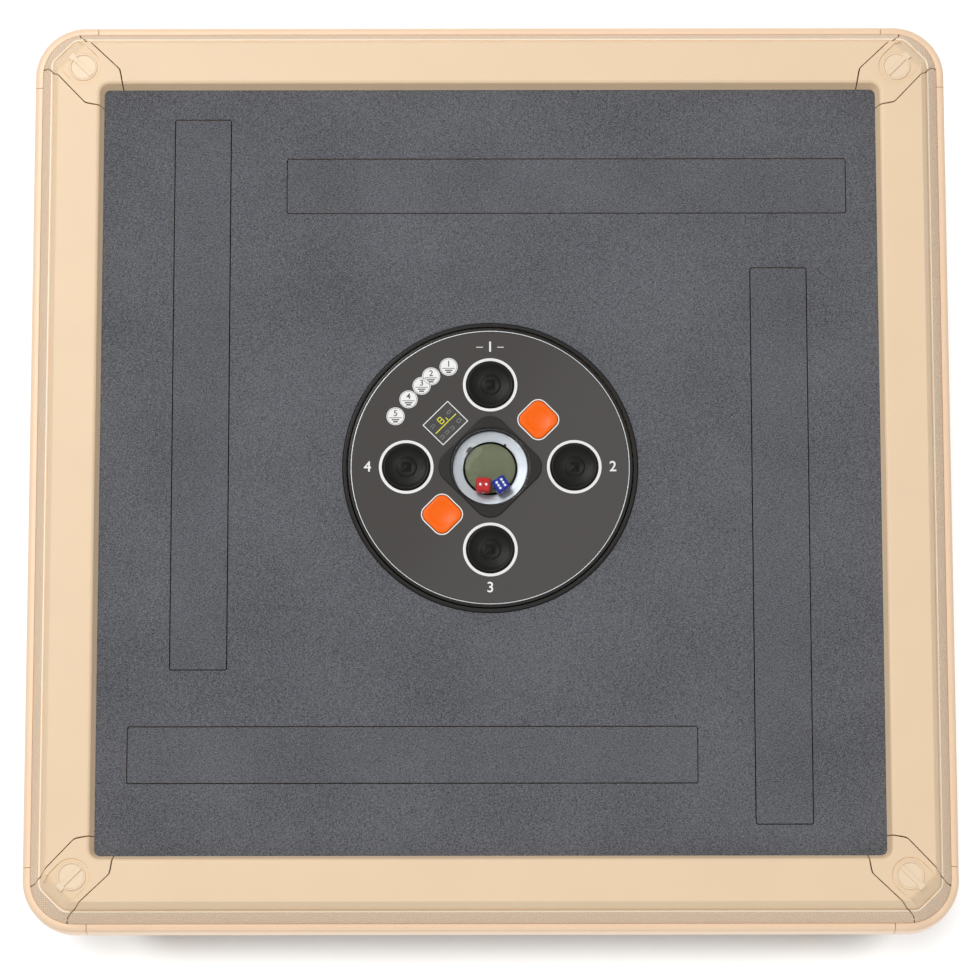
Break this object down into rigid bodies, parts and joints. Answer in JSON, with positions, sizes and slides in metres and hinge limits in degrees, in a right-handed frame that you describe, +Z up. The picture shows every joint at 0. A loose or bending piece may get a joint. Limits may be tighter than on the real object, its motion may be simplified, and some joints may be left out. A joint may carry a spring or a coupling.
{
  "type": "automatic mahjong table",
  "caption": "Square automatic mahjong table with a felt field, moulded rim, four tile lifts, a rising centre console with dice dome, and a mixing drum below.",
  "frame": {"origin": "on the floor under the middle of the table", "axes": "+Z up; -Y towards the south player's seat; +X to that player's right"},
  "size_m": [0.9706, 0.9706, 0.7646],
  "materials": {
    "felt": "short woven felt",
    "board": "sealed fibreboard",
    "rim": "satin moulded plastic",
    "trim": "satin moulded plastic",
    "cap": "satin moulded plastic",
    "black_plastic": "gloss moulded plastic",
    "panel": "printed gloss panel",
    "silver": "plated ring",
    "orange": "gloss button",
    "dome": "clear acrylic",
    "plate": "satin plate",
    "dice": "gloss dice",
    "display": "display window",
    "nylon": "moulded nylon",
    "steel": "zinc plated steel",
    "cover": "satin moulded plastic",
    "leg": "lacquered beech",
    "painted_steel": "powder coat",
    "aluminium": "extruded aluminium",
    "rubber": "rubber tyre",
    "motor": "black enamel",
    "card": "circuit card"
  },
  "bodies": {
    "root": {"playfield_board": "board", "playfield_felt": "felt", "well_ring": "black_plastic", "frame_corners": "rim", "corner_bolt_caps": "cap", "edge_trim": "trim", "lift_guides": "painted_steel", "tile_channels": "nylon", "drum_funnel": "nylon", "column_guide": "steel", "gearmotors": "motor", "base_pan": "painted_steel", "side_panels": "cover", "legs": "leg", "feet": "rubber", "power_inlet": "black_plastic", "control_board": "card", "rail_south": "rim", "rail_east": "rim", "rail_north": "rim", "rail_west": "rim"},
    "console": {"console_housing": "black_plastic", "console_panel": "panel", "console_ring": "silver", "display_module": "display", "dome_seat": "black_plastic", "dome_ring": "silver", "dice_dome": "dome", "lift_column": "aluminium"},
    "centre_gear": {"centre_pinion": "steel"},
    "mixing_disc": {"turntable": "black_plastic"},
    "disc_drive": {"drive_wheel": "rubber"},
    "lift_south": {"lift_deck_south": "nylon", "lift_carriage_south": "steel"},
    "pinion_south": {"lift_pinion_south": "nylon"},
    "pusher_south": {"tile_pusher_south": "black_plastic"},
    "button_south": {"seat_button_south": "black_plastic"},
    "lift_east": {"lift_deck_east": "nylon", "lift_carriage_east": "steel"},
    "pinion_east": {"lift_pinion_east": "nylon"},
    "pusher_east": {"tile_pusher_east": "black_plastic"},
    "button_east": {"seat_button_east": "black_plastic"},
    "lift_north": {"lift_deck_north": "nylon", "lift_carriage_north": "steel"},
    "pinion_north": {"lift_pinion_north": "nylon"},
    "pusher_north": {"tile_pusher_north": "black_plastic"},
    "button_north": {"seat_button_north": "black_plastic"},
    "lift_west": {"lift_deck_west": "nylon", "lift_carriage_west": "steel"},
    "pinion_west": {"lift_pinion_west": "nylon"},
    "pusher_west": {"tile_pusher_west": "black_plastic"},
    "button_west": {"seat_button_west": "black_plastic"},
    "pickup_southeast": {"pickup_wheel_southeast": "rubber"},
    "pickup_northeast": {"pickup_wheel_northeast": "rubber"},
    "pickup_northwest": {"pickup_wheel_northwest": "rubber"},
    "pickup_southwest": {"pickup_wheel_southwest": "rubber"},
    "dice_button_key": {"dice_button": "orange"},
    "raise_button_key": {"raise_button": "orange"},
    "dice_shaker": {"dice_plate": "plate", "dice": "dice"}
  },
  "joints": [
    {"name": "centre_lift", "type": "slide", "parent": "root", "child": "console", "axis": [0, 0, 1], "range_m": [0, 0.07]},
    {"name": "centre_pinion_turn", "type": "hinge", "parent": "root", "child": "centre_gear", "pos_m": [0.03417, 0, 0.566], "axis": [0, 1, 0], "range_deg": [0, 340]},
    {"name": "disc_turn", "type": "hinge", "parent": "root", "child": "mixing_disc", "pos_m": [0, 0, 0.6], "axis": [0, 0, 1], "continuous": true},
    {"name": "drive_wheel_turn", "type": "hinge", "parent": "root", "child": "disc_drive", "pos_m": [0, 0.2, 0.5667], "axis": [0, 1, 0], "continuous": true},
    {"name": "lift_south_slide", "type": "slide", "parent": "root", "child": "lift_south", "axis": [0, 0, 1], "range_m": [-0.056, 0]},
    {"name": "pinion_south_turn", "type": "hinge", "parent": "root", "child": "pinion_south", "pos_m": [-0.0687, -0.304, 0.617], "axis": [0, 1, 0], "range_deg": [-270, 0]},
    {"name": "pusher_south_slide", "type": "slide", "parent": "root", "child": "pusher_south", "axis": [0, -1, 0], "range_m": [0, 0.05]},
    {"name": "seat_button_south_press", "type": "slide", "parent": "console", "child": "button_south", "axis": [0, 0, -1], "range_m": [0, 0.0015], "stiffness_N_per_m": 400, "springref_m": -0.002},
    {"name": "lift_east_slide", "type": "slide", "parent": "root", "child": "lift_east", "axis": [0, 0, 1], "range_m": [-0.056, 0]},
    {"name": "pinion_east_turn", "type": "hinge", "parent": "root", "child": "pinion_east", "pos_m": [0.304, -0.0687, 0.617], "axis": [-1, 0, 0], "range_deg": [-270, 0]},
    {"name": "pusher_east_slide", "type": "slide", "parent": "root", "child": "pusher_east", "axis": [1, 0, 0], "range_m": [0, 0.05]},
    {"name": "seat_button_east_press", "type": "slide", "parent": "console", "child": "button_east", "axis": [0, 0, -1], "range_m": [0, 0.0015], "stiffness_N_per_m": 400, "springref_m": -0.002},
    {"name": "lift_north_slide", "type": "slide", "parent": "root", "child": "lift_north", "axis": [0, 0, 1], "range_m": [-0.056, 0]},
    {"name": "pinion_north_turn", "type": "hinge", "parent": "root", "child": "pinion_north", "pos_m": [0.0687, 0.304, 0.617], "axis": [0, -1, 0], "range_deg": [-270, 0]},
    {"name": "pusher_north_slide", "type": "slide", "parent": "root", "child": "pusher_north", "axis": [0, 1, 0], "range_m": [0, 0.05]},
    {"name": "seat_button_north_press", "type": "slide", "parent": "console", "child": "button_north", "axis": [0, 0, -1], "range_m": [0, 0.0015], "stiffness_N_per_m": 400, "springref_m": -0.002},
    {"name": "lift_west_slide", "type": "slide", "parent": "root", "child": "lift_west", "axis": [0, 0, 1], "range_m": [-0.056, 0]},
    {"name": "pinion_west_turn", "type": "hinge", "parent": "root", "child": "pinion_west", "pos_m": [-0.304, 0.0687, 0.617], "axis": [1, 0, 0], "range_deg": [-270, 0]},
    {"name": "pusher_west_slide", "type": "slide", "parent": "root", "child": "pusher_west", "axis": [-1, 0, 0], "range_m": [0, 0.05]},
    {"name": "seat_button_west_press", "type": "slide", "parent": "console", "child": "button_west", "axis": [0, 0, -1], "range_m": [0, 0.0015], "stiffness_N_per_m": 400, "springref_m": -0.002},
    {"name": "pickup_southeast_turn", "type": "hinge", "parent": "root", "child": "pickup_southeast", "pos_m": [0.18031, -0.18031, 0.668], "axis": [0.7071, 0.7071, 0], "continuous": true},
    {"name": "pickup_northeast_turn", "type": "hinge", "parent": "root", "child": "pickup_northeast", "pos_m": [0.18031, 0.18031, 0.668], "axis": [-0.7071, 0.7071, 0], "continuous": true},
    {"name": "pickup_northwest_turn", "type": "hinge", "parent": "root", "child": "pickup_northwest", "pos_m": [-0.18031, 0.18031, 0.668], "axis": [-0.7071, -0.7071, 0], "continuous": true},
    {"name": "pickup_southwest_turn", "type": "hinge", "parent": "root", "child": "pickup_southwest", "pos_m": [-0.18031, -0.18031, 0.668], "axis": [0.7071, -0.7071, 0], "continuous": true},
    {"name": "dice_button_press", "type": "slide", "parent": "console", "child": "dice_button_key", "axis": [0, 0, -1], "range_m": [0, 0.0015], "stiffness_N_per_m": 400, "springref_m": -0.002},
    {"name": "raise_button_press", "type": "slide", "parent": "console", "child": "raise_button_key", "axis": [0, 0, -1], "range_m": [0, 0.0015], "stiffness_N_per_m": 400, "springref_m": -0.002},
    {"name": "dice_plate_turn", "type": "hinge", "parent": "console", "child": "dice_shaker", "pos_m": [0, 0, 0.7448], "axis": [0, 0, 1], "continuous": true}
  ],
  "couplings": [
    {"joint": "centre_pinion_turn", "follows": "centre_lift", "rad_per_m": 83.333},
    {"joint": "drive_wheel_turn", "follows": "disc_turn", "ratio": -8},
    {"joint": "pinion_south_turn", "follows": "lift_south_slide", "rad_per_m": 83.333},
    {"joint": "pinion_east_turn", "follows": "lift_east_slide", "rad_per_m": 83.333},
    {"joint": "pinion_north_turn", "follows": "lift_north_slide", "rad_per_m": 83.333},
    {"joint": "pinion_west_turn", "follows": "lift_west_slide", "rad_per_m": 83.333}
  ]
}
